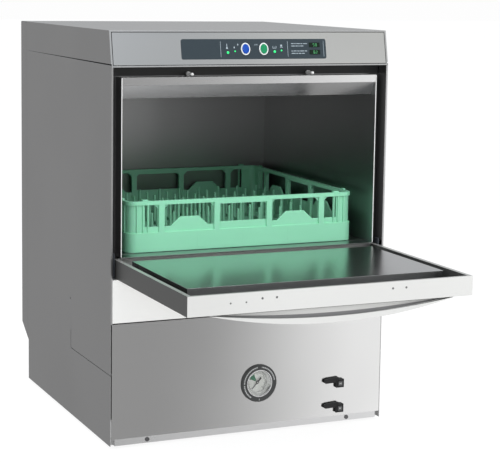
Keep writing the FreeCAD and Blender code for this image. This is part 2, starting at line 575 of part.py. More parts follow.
def base_screws():
    screws = []
    for s in (-1, 1):
        at = (s * BASE_SCREW_X, 0.1, BASE_SCREW_Z)
        head = rod(at, (0, 1, 0), 4.5, SHEET - 0.1)
        shank = rod(at, (0, 1, 0), 2.5, 9)
        slot = box(at[0] - 3.2, at[0] + 3.2, 0, 0.7, at[2] - 0.5, at[2] + 0.5)
        screws.append(join([head, shank]).cut(slot))
    save("base_screws", *screws)


def turned_ring(outline, x, z):
    """Solid of revolution about the line through x, z along y; outline is radius, y."""
    face = Part.Face(Part.makePolygon([V(r, y, 0) for r, y in outline + outline[:1]]))
    ring = face.revolve(V(0, 0, 0), V(0, 1, 0), 360)
    ring.translate(V(x, 0, z))
    return ring


def gauge():
    """Dial gauge: flange on the panel, can behind it, and a dial set deep behind a funnel-shaped bezel."""
    at = lambda y: (GAUGE_X, y, GAUGE_Z)
    r_in, r_dial, depth = 28.2, 20.6, 9.0
    flange = tube(at(-4.5), (0, 1, 0), GAUGE_R, r_in, 4.5)
    rounded = [e for e in flange.Edges if abs(e.BoundBox.YMin + 4.5) < 1e-6 and e.BoundBox.YLength < 1e-6
               and e.BoundBox.XLength > 2 * GAUGE_R - 1]
    flange = flange.makeFillet(2, rounded)
    can = rod(at(-1), (0, 1, 0), 30.9, 33).cut(rod(at(-2), (0, 1, 0), r_in, 28))
    stem = rod(at(31), (0, 1, 0), 6, 16)
    save("gauge_case", join([flange, can, stem]))
    funnel = [(r_in - 0.05, -5.2), (26.2, -5.2), (25.4, -4.0), (r_dial + 0.1, depth),
              (r_dial + 0.1, depth + 2), (r_in - 0.05, depth + 2)]
    save("gauge_bezel", turned_ring(funnel, GAUGE_X, GAUGE_Z))
    save("gauge_glass", rod(at(-4.9), (0, 1, 0), 25.2, 0.8))
    pin = rod(at(depth - 5), (0, 1, 0), 1.2, 6)
    save("gauge_dial", join([rod(at(depth), (0, 1, 0), r_dial, 1), pin]))
    blade = [(-3.2, -1.2), (-12, -1.7), (-12, 1.7), (-3.2, 1.2), (18, 0.35), (18, -0.35)]
    needle = front_prism(blade, depth - 3.4, depth - 2.6).fuse(rod((0, depth - 3.7, 0), (0, 1, 0), 3.2, 1.3))
    needle = needle.removeSplitter().cut(rod((0, 0, 0), (0, 1, 0), 1.25, 10))
    needle.rotate(V(0, 0, 0), V(0, 1, 0), -228)
    needle.translate(V(GAUGE_X, 0, GAUGE_Z))
    save("gauge_needle", needle)


def lever_valves():
    bodies = []
    for name, z in zip(("upper", "lower"), VALVE_Z):
        at = lambda y: (VALVE_X, y, z)
        collar = rod(at(-1), (0, 1, 0), 8.0, 1)
        spindle = rod(at(-8.3), (0, 1, 0), 3.5, 20)
        head = rod(at(-8.3), (0, 1, 0), 4.4, 0.8)
        shank = rod(at(-1), (0, 1, 0), 6.8, 20)
        nut = rod(at(2), (0, 1, 0), VALVE_NUT_R, 6)
        tail = rod(at(19), (0, 1, 0), 5, 12)
        bodies.append(join([collar, spindle, head, shank, nut, tail]))
        hub = box(VALVE_X - 8.8, VALVE_X + 8.8, -7.4, -1.3, z - 8.8, z + 8.8)
        arm_outline = [(-3, 13.4), (-29, 11.8), (-35.6, 9.8), (-36.6, 4.0), (-33, 1.6), (-3, 2.4)]
        grip = front_prism([(VALVE_X + x, z + dz) for x, dz in arm_outline], -6.8, -1.8)
        lever = join([hub, grip]).cut(rod(at(-20), (0, 1, 0), 3.56, 30))
        save(name + "_valve_lever", lever)
    save("valve_bodies", *bodies)


# ---- door -----------------------------------------------------------------------------------
def door_shell():
    t = TUB_SHEET
    side = side_prism([(-DOOR_REACH, DOOR_BOTTOM), (HINGE_Y, DOOR_BOTTOM), (HINGE_Y, DOOR_TOP),
                       (-DOOR_REACH, DOOR_TOP)], DOOR_HALF - t, DOOR_HALF)
    side = side.fuse(rod((DOOR_HALF - t, HINGE_Y, HINGE_Z), (1, 0, 0), HINGE_R, t)).removeSplitter()
    side = side.cut(rod((DOOR_HALF - 5, HINGE_Y, HINGE_Z), (1, 0, 0), 5.06, 10))
    top = box(DOOR_HALF - RIM_W, DOOR_HALF, -DOOR_REACH, HINGE_Y, DOOR_TOP - t, DOOR_TOP)
    lip = box(DOOR_HALF - RIM_W, DOOR_HALF - RIM_W + t, -DOOR_REACH, HINGE_Y - 26, DOOR_TOP - 15, DOOR_TOP)
    skin = box(-DOOR_HALF, DOOR_HALF, -DOOR_REACH, HINGE_Y, DOOR_BOTTOM, DOOR_BOTTOM + t)
    front = box(-DOOR_HALF, DOOR_HALF, -DOOR_REACH, -DOOR_REACH + t, DOOR_BOTTOM, DOOR_TOP)
    front_top = box(-DOOR_HALF, DOOR_HALF, -DOOR_REACH, -DOOR_REACH + TIP_RIM_W, DOOR_TOP - t, DOOR_TOP)
    front_lip = box(-DOOR_HALF + 1, DOOR_HALF - 1, -DOOR_REACH + TIP_RIM_W - t, -DOOR_REACH + TIP_RIM_W,
                    DOOR_TOP - 15, DOOR_TOP)
    roll = rod((-DOOR_HALF, HINGE_Y, HINGE_Z), (1, 0, 0), HINGE_R, DOOR_W)
    roll = roll.cut(rod((-DOOR_HALF, HINGE_Y, HINGE_Z), (1, 0, 0), HINGE_R - t, DOOR_W))
    roll = roll.cut(box(-HALF, HALF, HINGE_Y - 30, HINGE_Y, HINGE_Z - 30, HINGE_Z + 30))
    pieces = both_sides(side) + both_sides(top) + both_sides(lip) + [skin, front, front_top, front_lip, roll]
    holes = [rod((x, -DOOR_REACH - 1, z), (0, 1, 0), r, 4) for x, z, r in DOOR_SCREWS]
    save("door_outer_shell", cut_all(join(pieces), holes))


DOOR_SCREWS = [(-206.0, 359.0, 1.6), (-176.0, 359.0, 1.6), (-145.0, 364.0, 2.1), (-117.0, 364.0, 2.1),
               (117.0, 364.0, 2.1), (145.0, 364.0, 2.1)]


def door_liner():
    t = SHEET
    y0, y1 = -304.0, -16.0
    pan = box(-PLUG_HALF, PLUG_HALF, y0, y1, DOOR_BOTTOM + TUB_SHEET, DOOR_TOP)
    foam = box(-PLUG_HALF + t, PLUG_HALF - t, y0 + t, y1 - t, DOOR_BOTTOM + TUB_SHEET, DOOR_TOP - t)
    z0 = DOOR_BOTTOM + TUB_SHEET
    flange = box(-PLUG_HALF - 5, PLUG_HALF + 5, y0 - 24, y1 + 3, z0, z0 + t)
    save("door_inner_liner", join([pan, flange]).cut(foam))
    save("door_insulation", foam)


def door_seal():
    z0 = DOOR_BOTTOM + TUB_SHEET
    outer = box(-278.5, 278.5, -356, -1.5, z0, z0 + 4.2)
    inner = box(-268, 268, -336, -12.5, z0 - 1, z0 + 6)
    groove = box(-275, 275, -349, -7, z0 + 3, z0 + 6).cut(box(-272, 272, -340, -12.5, z0, z0 + 7))
    save("door_seal", outer.cut(inner).cut(groove))


HANDLE_HALF, HANDLE_DEPTH = 250.0, 30.0
HANDLE_LIP = 12.0         # height of the lip at the middle
HANDLE_BACK = 13.0        # front plane of the lip to the back of the channel


def door_handle():
    """Bowed channel along the door's tip: a back wall, a curved floor and a lower front lip."""
    t, y0 = 1.5, -DOOR_REACH

    def bow(depth, y, length):
        """Disc whose rim dips by depth below the door between the handle's ends."""
        radius = (HANDLE_HALF ** 2 + depth ** 2) / (2 * depth)
        return rod((0, y, DOOR_BOTTOM - depth + radius), (0, 1, 0), radius, length)
    below = box(-HANDLE_HALF + 4, HANDLE_HALF - 4, y0, y0 + 40, DOOR_BOTTOM - HANDLE_DEPTH - 5, DOOR_BOTTOM)
    whole = bow(HANDLE_DEPTH, y0, HANDLE_BACK).common(below)
    inside = bow(HANDLE_DEPTH - t, y0 + t, HANDLE_BACK - 2 * t)
    above_lip = bow(HANDLE_DEPTH - HANDLE_LIP, y0 - 1, t + 2)
    flange = box(-HANDLE_HALF + 12, HANDLE_HALF - 12, y0 + HANDLE_BACK - t, y0 + 26,
                 DOOR_BOTTOM - t, DOOR_BOTTOM)
    save("door_handle", join([whole.cut(inside).cut(above_lip), flange]))


def door_screws():
    screws = []
    for x, z, r in DOOR_SCREWS:
        screws.append(rod((x, -DOOR_REACH + 0.2, z), (0, 1, 0), r, 4))
    save("door_screws", *screws)


def door_hinges():
    """Each bracket carries its own pin; the bush turns with the door."""
    brackets, bushes = [], []
    for s in (-1, 1):
        x0 = s * 289.6
        x1 = s * 292.6
        plate = box(min(x0, x1), max(x0, x1), 6, RECESS, DOOR_BOTTOM + 1, DOOR_TOP + 12)
        plate = plate.fuse(box(min(x0, s * 297), max(x0, s * 297), RECESS - 3, RECESS, DOOR_BOTTOM + 1,
                               DOOR_TOP + 12)).removeSplitter()
        brackets.append(join([plate, rod((s * 278.5, HINGE_Y, HINGE_Z), (s, 0, 0), 5.0, 18)]))
        inner_x = s * (DOOR_HALF - TUB_SHEET)
        bushes.append(tube((inner_x, HINGE_Y, HINGE_Z), (-s, 0, 0), 11, 5.06, 6))
    save("hinge_brackets", *brackets)
    save("hinge_bushes", *bushes)


# ---- rack -----------------------------------------------------------------------------------
def rack_guides():
    rail = box(236, TUB_HALF - TUB_SHEET - 0.2, RECESS + 3, TUB_BACK - 4, SILL_Z - TUB_SHEET, SILL_Z)
    wall = box(TUB_HALF - 2 * TUB_SHEET - 0.2, TUB_HALF - TUB_SHEET - 0.2, RECESS + 3, TUB_BACK - 4,
               SILL_Z - 24, SILL_Z)
    save("rack_guides", *both_sides(join([rail, wall])))


def rack_ring(inset, thickness, z0, z1):
    """Upright wall all round the rack with rounded corners, its face set in from the rack's sides."""
    outer, radius = RACK_W - 2 * inset, RACK_CORNER - inset
    inner, inner_radius = outer - 2 * thickness, radius - thickness
    return round_plate(outer, outer, radius, z0, z1).cut(round_plate(inner, inner, inner_radius, z0, z1))


def rack_windows():
    """Openings of one wall, seen from outside, as prisms through it; the middle one is the widest."""
    top = RACK_H - RACK_RAIL
    post_in, post_out = RACK_POSTS
    hump = [(77, RACK_SILL), (97, 68), (137, 68), (157, RACK_SILL)]
    outlines = [[(-post_in, RACK_SILL + 4), (post_in, RACK_SILL + 4), (post_in, top), (-post_in, top)]]
    for s in (-1, 1):
        row = [(post_in, RACK_SILL)] + hump + [(post_out, RACK_SILL), (post_out, top), (post_in, top)]
        outlines.append([(s * x, z) for x, z in row])
        outlines.append([(s * x, z) for x, z in ((post_out, RACK_SILL), (212, RACK_SILL), (212, top),
                                                 (post_out, top))])
    return [front_prism(outline, -RACK_W / 2 - 1, -RACK_W / 2 + 12) for outline in outlines]


def four_sides(shapes):
    return [turned(shape, 90 * i) for shape in shapes for i in range(4)]


def turned(shape, angle):
    copy = shape.copy()
    copy.rotate(V(0, 0, 0), V(0, 0, 1), angle)
    return copy


def dish_rack():
    """Moulded basket with a peg grid; the pegs stand on the grid's crossings."""
    band = rack_ring(0, 5, 0, RACK_BAND)
    wall = cut_all(rack_ring(3, 4, 0, RACK_H), four_sides(rack_windows()))
    rail = rack_ring(0, 8, RACK_H - RACK_RAIL, RACK_H)
    y0 = -RACK_W / 2
    posts = [box(s * x - 6, s * x + 6, y0, y0 + 8, RACK_BAND - 3, RACK_H)
             for x in RACK_POSTS for s in (-1, 1)]
    deep_rail = box(-RACK_POSTS[0], RACK_POSTS[0], y0, y0 + 8, RACK_H - RACK_RAIL - 3.5, RACK_H)
    grid_half, pitch, bar, floor = RACK_W / 2 - 4, 48.0, 3.2, 9.0
    lines = [pitch * (i - 4.5) for i in range(10)]
    grid = [box(x - bar / 2, x + bar / 2, -grid_half, grid_half, 0, floor) for x in lines]
    grid += [box(-grid_half, grid_half, y - bar / 2, y + bar / 2, 0, floor) for y in lines]
    rack = join([band, wall, rail] + four_sides(posts + [deep_rail]) + grid)
    place = V(0, RACK_Y0 + RACK_W / 2, RACK_Z)
    rack.translate(place)
    save("dish_rack", rack)
    pegs = [Part.makeCone(3.6, 2.4, PEG_TOP - floor, V(x, y, floor)) for x in lines for y in lines[1:-1]]
    for peg in pegs:
        peg.translate(place)
    save("rack_pegs", *pegs)


def main():
    os.makedirs("parts", exist_ok=True)
    for build in (base_frame, adjustable_feet, side_panels, back_panel, rear_cover, top_hood, fascia,
                  control_overlay, buttons, control_board, wash_chamber, drip_rail, catch_studs, wash_tank,
                  tank_filters, filter_basket, overflow_pipe, heating_element, arm_supports, spray_arms,
                  wash_pump, riser_pipes, boiler, back_fittings, dosing_pumps, front_strip, access_panel,
                  base_screws, gauge, lever_valves, door_shell, door_liner, door_seal, door_handle,
                  door_screws, door_hinges, rack_guides, dish_rack):
        build()


main()
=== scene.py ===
"""Looks of the undercounter dishwasher: materials, moulded and printed detail, light and camera.

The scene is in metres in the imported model's own frame.  The detail sections give their sizes in
millimetres, which on_front(), on_fascia(), on_panel() and mm() turn into metres.
"""
import json
import math

import bmesh
import bpy
from mathutils import Matrix, Vector


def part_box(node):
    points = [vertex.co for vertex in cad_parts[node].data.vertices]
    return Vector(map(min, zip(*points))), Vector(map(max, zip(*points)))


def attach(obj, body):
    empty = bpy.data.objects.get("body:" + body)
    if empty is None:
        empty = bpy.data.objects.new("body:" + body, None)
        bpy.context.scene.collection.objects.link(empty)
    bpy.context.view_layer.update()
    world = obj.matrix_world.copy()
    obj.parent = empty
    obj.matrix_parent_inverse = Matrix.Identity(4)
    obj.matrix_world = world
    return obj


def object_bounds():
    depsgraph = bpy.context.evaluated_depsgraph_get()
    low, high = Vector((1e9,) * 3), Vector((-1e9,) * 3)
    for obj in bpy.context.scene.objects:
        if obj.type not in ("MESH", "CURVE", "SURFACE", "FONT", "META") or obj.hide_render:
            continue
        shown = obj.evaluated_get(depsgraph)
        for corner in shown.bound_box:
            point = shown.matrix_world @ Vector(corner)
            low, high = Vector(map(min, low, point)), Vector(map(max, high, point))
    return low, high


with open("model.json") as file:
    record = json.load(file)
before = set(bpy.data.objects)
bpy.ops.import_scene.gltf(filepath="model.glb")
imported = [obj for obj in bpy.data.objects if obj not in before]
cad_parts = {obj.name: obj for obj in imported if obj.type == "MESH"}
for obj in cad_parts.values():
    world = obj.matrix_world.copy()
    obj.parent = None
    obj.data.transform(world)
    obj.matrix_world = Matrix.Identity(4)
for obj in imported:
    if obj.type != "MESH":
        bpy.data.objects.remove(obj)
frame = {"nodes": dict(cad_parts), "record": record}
CAD_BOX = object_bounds()
NODES = frame["nodes"]


def mm(value):
    """Millimetres to metres."""
    return value / 1000.0


FRONT_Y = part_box("access_panel")[0][1]      # the cabinet's front plane, in metres
FLOOR_Z = CAD_BOX[0][2]

# ---- camera ---------------------------------------------------------------------------------
CAMERA_PLACE = (-1.2686, -2.9459, 0.9191)
YAW, PITCH, ROLL = math.radians(24.11), math.radians(7.31), math.radians(0.85)
LENS, SENSOR, SHIFT_Y = 112.25, 36.0, -0.103


def make_camera():
    """A long lens low on the object's left, shifted down and turned a little about its own axis."""
    ahead = Vector((math.sin(YAW), math.cos(YAW), 0))
    right = Vector((math.cos(YAW), -math.sin(YAW), 0))
    up = Vector((0, 0, 1))
    view = ahead * math.cos(PITCH) - up * math.sin(PITCH)
    top = up * math.cos(PITCH) + ahead * math.sin(PITCH)
    x_axis = right * math.cos(ROLL) + top * math.sin(ROLL)
    y_axis = top * math.cos(ROLL) - right * math.sin(ROLL)
    data = bpy.data.cameras.new("camera")
    data.lens, data.sensor_width, data.shift_y = LENS, SENSOR, SHIFT_Y
    camera = bpy.data.objects.new("camera", data)
    camera.matrix_world = Matrix.Translation(CAMERA_PLACE) @ Matrix(
        (x_axis, y_axis, -view)).transposed().to_4x4()
    bpy.context.scene.collection.objects.link(camera)
    bpy.context.scene.camera = camera


# ---- shader helpers ---------------------------------------------------------------------------
class Shader:
    """The node tree of a material or of the world, with short calls for its nodes."""

    def __init__(self, tree):
        self.tree = tree
        tree.nodes.clear()

    def node(self, kind, **settings):
        made = self.tree.nodes.new(kind)
        for key, value in settings.items():
            setattr(made, key, value)
        return made

    def link(self, source, target):
        self.tree.links.new(source, target)

    def value(self, socket, value):
        """Sets an input, or links it where the value is another node's output."""
        if isinstance(value, bpy.types.NodeSocket):
            self.link(value, socket)
        else:
            socket.default_value = value

    def math(self, operation, a, b=0.0):
        made = self.node("ShaderNodeMath", operation=operation)
        self.value(made.inputs[0], a)
        self.value(made.inputs[1], b)
        return made.outputs[0]

    def place(self, scale=(1, 1, 1)):
        """Object coordinates in metres, stretched by scale."""
        mapping = self.node("ShaderNodeMapping")
        mapping.inputs["Scale"].default_value = scale
        self.link(self.node("ShaderNodeTexCoord").outputs["Object"], mapping.inputs["Vector"])
        return mapping.outputs["Vector"]

    def noise(self, scale, detail=2.0, rough=0.5, stretch=(1, 1, 1)):
        made = self.node("ShaderNodeTexNoise")
        made.inputs["Scale"].default_value = scale
        made.inputs["Detail"].default_value = detail
        made.inputs["Roughness"].default_value = rough
        self.link(self.place(stretch), made.inputs["Vector"])
        return made.outputs["Fac"]

    def spread(self, source, low, high, start=0.0, end=1.0):
        """Maps start..end of source onto low..high."""
        made = self.node("ShaderNodeMapRange")
        for name, number in (("From Min", start), ("From Max", end), ("To Min", low), ("To Max", high)):
            made.inputs[name].default_value = number
        self.link(source, made.inputs["Value"])
        return made.outputs["Result"]

    def mix(self, factor, a, b, blend="MIX"):
        made = self.node("ShaderNodeMix", data_type="RGBA", blend_type=blend)
        self.value(made.inputs[0], factor)
        self.value(made.inputs[6], a if isinstance(a, bpy.types.NodeSocket) else (*a, 1))
        self.value(made.inputs[7], b if isinstance(b, bpy.types.NodeSocket) else (*b, 1))
        return made.outputs[2]

    def bump(self, height, strength, distance):
        made = self.node("ShaderNodeBump")
        made.inputs["Strength"].default_value = strength
        made.inputs["Distance"].default_value = distance
        self.link(height, made.inputs["Height"])
        return made.outputs["Normal"]

    def surface(self, **inputs):
        """The principled surface, with inputs by their names, spaces as underscores."""
        made = self.node("ShaderNodeBsdfPrincipled")
        for key, value in inputs.items():
            if "Color" in key and isinstance(value, tuple):
                value = (*value, 1)
            self.value(made.inputs[key.replace("_", " ")], value)
        out = self.node("ShaderNodeOutputMaterial")
        self.link(made.outputs[0], out.inputs["Surface"])


def new_material(name):
    made = bpy.data.materials.new(name)
    made.use_nodes = True
    return made, Shader(made.node_tree)


# ---- materials --------------------------------------------------------------------------------
FACING = 0.7              # how far a normal leans to an axis before the face counts as facing it


def brushed_steel(name, colour, rough, contrast=0.009, depth=0.003, metal=1.0, side=1.0, top=1.0,
                  under=1.0):
    """Satin sheet: grain lines that run level on upright sheets and from left to right on level
    ones, with soft handling marks.

    contrast is how far the grain lines differ in shade, and depth how deep they are.  metal below 1
    mixes a pale, less metallic look into the sheet; on the front strip this is painted light.  side,
    top and under darken faces turned sideways, up and down: painted shade, set by which way a face
    turns rather than by the light it gets."""
    made, s = new_material(name)
    split = s.node("ShaderNodeSeparateXYZ")
    s.link(s.node("ShaderNodeTexCoord").outputs["Normal"], split.inputs[0])
    level = s.math("GREATER_THAN", s.math("ABSOLUTE", split.outputs[2]), FACING)

    def lines(scale, fineness):
        upright = s.noise(scale, 3.0, 0.6, (1, 1, fineness))
        flat = s.noise(scale, 3.0, 0.6, (1, fineness, 1))
        return s.math("ADD", s.math("MULTIPLY", flat, level),
                      s.math("MULTIPLY", upright, s.math("SUBTRACT", 1.0, level)))
    grain = s.math("MULTIPLY", s.math("ADD", lines(12, 200), lines(5, 150)), 0.5)
    marks = s.noise(2.6, 2.0, 0.5)
    dark = tuple(c * (1 - contrast) for c in colour)
    light = tuple(min(c * (1 + contrast), 1.0) for c in colour)
    tint = s.mix(s.spread(grain, 0, 1, 0.35, 0.65), dark, light)
    tint = s.mix(s.spread(marks, 0.0, 0.5, 0.4, 0.7), tint, tuple(c * 0.92 for c in colour))
    # painted shade: faces turned sideways, up or down take a darker tint, scaled by side, top and under
    painted_facing_shade = ((side, s.math("GREATER_THAN", s.math("ABSOLUTE", split.outputs[0]), FACING)),
              (top, s.math("GREATER_THAN", split.outputs[2], FACING)),
              (under, s.math("LESS_THAN", split.outputs[2], -0.3)))
    for painted_shade, flag in painted_facing_shade:
        if painted_shade != 1.0:
            tint = s.mix(flag, tint, s.mix(1.0, tint, (painted_shade, painted_shade, painted_shade), "MULTIPLY"))
    swing = contrast * 0.6
    roughness = s.math("ADD", s.spread(grain, rough - swing, rough + swing, 0.3, 0.7),
                       s.spread(marks, -0.01, 0.02, 0.4, 0.7))
    round_about = s.node("ShaderNodeTangent", direction_type="RADIAL", axis="Z")
    tangent = s.node("ShaderNodeMix", data_type="VECTOR")
    s.link(level, tangent.inputs["Factor"])
    s.link(round_about.outputs[0], tangent.inputs[4])
    tangent.inputs[5].default_value = (1, 0, 0)
    s.surface(Base_Color=tint, Metallic=metal, Roughness=roughness, Anisotropic=0.35,
              Tangent=tangent.outputs[1], Normal=s.bump(grain, depth, 0.0002))
    return made


def machined(name, colour, rough):
    """Turned or drawn bright metal with very fine rings of tool marks."""
    made, s = new_material(name)
    marks = s.noise(900, 2.0, 0.5)
    s.surface(Base_Color=s.mix(marks, tuple(c * 0.93 for c in colour), colour), Metallic=1.0,
              Roughness=s.spread(marks, rough - 0.04, rough + 0.05), Normal=s.bump(marks, 0.06, 0.0001))
    return made


def moulded(name, colour, rough, grain=0.05, scale=1400, sheen=0.0, subsurface=0.0, spec=0.5):
    """Moulded plastic or ink: fine grain, and a slow change of shade and gloss across it."""
    made, s = new_material(name)
    fine = s.noise(scale, 2.0, 0.5)
    slow = s.noise(9, 3.0, 0.5)
    low = tuple(c * 0.94 for c in colour)
    high = tuple(min(c * 1.05, 1.0) for c in colour)
    inputs = dict(Base_Color=s.mix(slow, low, high),
                  Roughness=s.spread(slow, rough - 0.04, rough + 0.05), Specular_IOR_Level=spec,
                  Sheen_Weight=sheen, Normal=s.bump(fine, grain, 0.0002))
    if subsurface:
        inputs.update(Subsurface_Weight=subsurface, Subsurface_Radius=(0.004, 0.006, 0.004),
                      Subsurface_Scale=1.0)
    s.surface(**inputs)
    return made


def glow(name, colour, strength):
    """A lit lens, a little uneven."""
    made, s = new_material(name)
    cloud = s.noise(500, 1.0, 0.5)
    s.surface(Base_Color=s.mix(cloud, tuple(c * 0.9 for c in colour), colour), Roughness=0.25,
              Emission_Color=colour, Emission_Strength=strength)
    return made


def clear_glass(name):
    """Glass or clear plastic with faint smears."""
    made, s = new_material(name)
    smear = s.noise(60, 2.0, 0.6)
    s.surface(Base_Color=(1, 1, 1), Roughness=s.spread(smear, 0.0, 0.02, 0.45, 0.75),
              IOR=1.46, Transmission_Weight=1.0)
    return made


def board(name):
    """Circuit board: solder mask with a grid of copper traces under it."""
    made, s = new_material(name)
    brick = s.node("ShaderNodeTexBrick")
    brick.inputs["Scale"].default_value = 180
    brick.inputs["Color1"].default_value = (0.02, 0.16, 0.07, 1)
    brick.inputs["Color2"].default_value = (0.03, 0.22, 0.10, 1)
    brick.inputs["Mortar"].default_value = (0.08, 0.30, 0.14, 1)
    s.link(s.place(), brick.inputs["Vector"])
    s.surface(Base_Color=brick.outputs["Color"], Roughness=0.35)
    return made


def foam(name):
    """Cut insulation foam with open cells."""
    made, s = new_material(name)
    cells = s.node("ShaderNodeTexVoronoi")
    cells.inputs["Scale"].default_value = 350
    s.link(s.place(), cells.inputs["Vector"])
    s.surface(Base_Color=s.mix(cells.outputs["Distance"], (0.70, 0.64, 0.44), (0.86, 0.80, 0.62)),
              Roughness=0.9, Normal=s.bump(cells.outputs["Distance"], 0.4, 0.0008))
    return made


# the finish of each slot, and of single nodes whose finish differs from their slot's
SLOT_MATERIALS = {
    # cover_steel's top=0.74 is painted shade that darkens the hood's top
    "cover_steel": brushed_steel("cover_steel", (0.545, 0.545, 0.548), 0.25, 0.006, 0.0, top=0.74),
    "front_steel": brushed_steel("front_steel", (0.72, 0.72, 0.718), 0.14),
    "fascia_steel": brushed_steel("fascia_steel", (0.565, 0.57, 0.57), 0.15),
    "inner_steel": brushed_steel("inner_steel", (0.37, 0.37, 0.373), 0.30, 0.03, 0.01),
    # door_steel's side=0.13 and top=0.5 are painted shade: dark door sides and a darker rim top
    "door_steel": brushed_steel("door_steel", (0.75, 0.75, 0.735), 0.34, metal=0.45, side=0.13,
                                top=0.5),
    "base_steel": brushed_steel("base_steel", (0.78, 0.78, 0.785), 0.28),
    "bright_steel": machined("bright_steel", (0.84, 0.84, 0.85), 0.14),
    "panel_film": moulded("panel_film", (0.018, 0.030, 0.039), 0.42, 0.08, spec=0.4),
    "white_plastic": moulded("white_plastic", (0.66, 0.69, 0.69), 0.22, 0.02),
    "blue_plastic": moulded("blue_plastic", (0.002, 0.052, 0.33), 0.2, 0.02, spec=0.3),
    "green_plastic": moulded("green_plastic", (0.004, 0.205, 0.080), 0.2, 0.02, spec=0.3),
    "lamp_green": glow("lamp_green", (0.02, 0.62, 0.16), 0.8),
    "display_dark": moulded("display_dark", (0.004, 0.012, 0.007), 0.16, 0.0, spec=0.2),
    "board_green": board("board_green"),
    "rubber_black": moulded("rubber_black", (0.018, 0.018, 0.019), 0.62, 0.12, 700, 0.3),
    "black_plastic": moulded("black_plastic", (0.010, 0.010, 0.011), 0.45, 0.10, spec=0.35),
    "motor_paint": moulded("motor_paint", (0.035, 0.040, 0.048), 0.45, 0.10, 500),
    "grey_plastic": moulded("grey_plastic", (0.20, 0.21, 0.22), 0.42, 0.08),
    "brass": machined("brass", (0.72, 0.53, 0.24), 0.24),
    "foam": foam("foam"),
    "gauge_dial": moulded("gauge_dial", (0.90, 0.92, 0.87), 0.40, 0.03),
    "clear": clear_glass("clear"),
    "rack_green": moulded("rack_green", (0.27, 0.66, 0.44), 0.38, 0.05, 900, 0.0, 0.25),
}
NODE_MATERIALS = {
    # painted light: the front strip is near-white and little metallic so it is as bright as the light
    # it reflects
    "front_strip": brushed_steel("strip_steel", (0.99, 0.99, 0.975), 0.40, metal=0.36),
    # painted shade: rail_steel's top and under darken the drip rail's level and lower faces
    "drip_rail": brushed_steel("rail_steel", (0.72, 0.72, 0.72), 0.18, top=0.12, under=0.40),
    "door_inner_liner": brushed_steel("liner_steel", (0.50, 0.50, 0.505), 0.24, 0.02, 0.006),
    "base_screws": machined("dull_screw", (0.17, 0.17, 0.175), 0.35),
    "door_screws": machined("dull_rivet", (0.20, 0.20, 0.205), 0.35),
    "gauge_case": moulded("gauge_grey", (0.038, 0.040, 0.040), 0.42, 0.08),
    "valve_bodies": machined("spindle_grey", (0.42, 0.42, 0.43), 0.35),
    "catch_studs": brushed_steel("stud_zinc", (0.92, 0.92, 0.91), 0.3, 0.02, metal=0.3),
}

# ---- CAD nodes --------------------------------------------------------------------------------
SOFT_EDGE = {"adjustable_feet": 0.6, "wash_button": 0.5, "power_button": 0.5, "gauge_case": 0.5,
             "upper_valve_lever": 1.2, "lower_valve_lever": 1.2, "pump_motor": 0.8, "pump_housing": 0.8,
             "dish_rack": 0.8, "lower_wash_arm": 1.2, "upper_wash_arm": 1.2, "hinge_bushes": 0.5}
EDGE = 0.35               # bevel on folded sheet, in millimetres


def soften(item, width):
    """Rounds edges by width millimetres, and keeps wide faces flat in the shading."""
    mesh = item.data
    mesh.normals_split_custom_set([(0, 0, 0)] * len(mesh.loops))
    mesh.polygons.foreach_set("use_smooth", [True] * len(mesh.polygons))
    weld = item.modifiers.new("weld", "WELD")
    weld.merge_threshold = 1e-6
    flat = item.modifiers.new("flat", "DECIMATE")
    flat.decimate_type = "DISSOLVE"
    flat.angle_limit = math.radians(0.6)
    bevel = item.modifiers.new("edge", "BEVEL")
    bevel.width = mm(width)
    bevel.segments = 2
    bevel.limit_method = "ANGLE"
    bevel.angle_limit = math.radians(38)
    normals = item.modifiers.new("normals", "WEIGHTED_NORMAL")
    normals.weight = 80
    normals.keep_sharp = False


def dress_nodes():
    """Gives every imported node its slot's material, and softens its edges."""
    for part in frame["record"]["subparts"]:
        node = NODES[part["node"]]
        finish = NODE_MATERIALS.get(part["node"], SLOT_MATERIALS[part["material_slot"]])
        node.data.materials.clear()
        node.data.materials.append(finish)
        soften(node, SOFT_EDGE.get(part["node"], EDGE))


# ---- mesh helpers -----------------------------------------------------------------------------
BODIES = frame["record"]["behaviour"]["bodies"]
BODY_OF = {node: body for body, nodes in BODIES.items() for node in nodes}


def piece(name, build, slot, body, edge=0.0, material=None):
    """A new object from what build adds to a bmesh; it rides on a body and takes a slot's finish."""
    work = bmesh.new()
    build(work)
    bmesh.ops.recalc_face_normals(work, faces=work.faces)
    mesh = bpy.data.meshes.new(name)
    work.to_mesh(mesh)
    work.free()
    made = bpy.data.objects.new(name, mesh)
    bpy.context.scene.collection.objects.link(made)
    mesh.materials.append(material or SLOT_MATERIALS[slot])
    if edge:
        soften(made, edge)
    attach(made, body)


def on_front(u, v, w):
    """Across, up and out from the cabinet's front plane, in millimetres, as a place."""
    return Vector((mm(u), FRONT_Y - mm(w), mm(v)))


FASCIA_LOW, FASCIA_LEAN, CASE_TOP = 750.0, 14.0, 820.0
FASCIA_TILT = math.atan2(FASCIA_LEAN, CASE_TOP - FASCIA_LOW)


def on_fascia(u, v, w):
    """Across, up the slope from its middle, and out from the fascia's face."""
    y = FASCIA_LEAN / 2 + v * math.sin(FASCIA_TILT) - w * math.cos(FASCIA_TILT)
    z = (FASCIA_LOW + CASE_TOP) / 2 + v * math.cos(FASCIA_TILT) + w * math.sin(FASCIA_TILT)
    return Vector((mm(u), FRONT_Y + mm(y), mm(z)))


def on_panel(u, v, w):
    """The same from the middle of the control overlay's height."""
    return on_fascia(u, v - 1.5, w)


def slab(work, outline, low, high, place):
    """A closed outline raised from low to high; place turns three millimetre values into a point."""
    rings = [[work.verts.new(place(u, v, w)) for u, v in outline] for w in (low, high)]
    work.faces.new(rings[0][::-1])
    work.faces.new(rings[1])
    skirt(work, rings[0], rings[1])


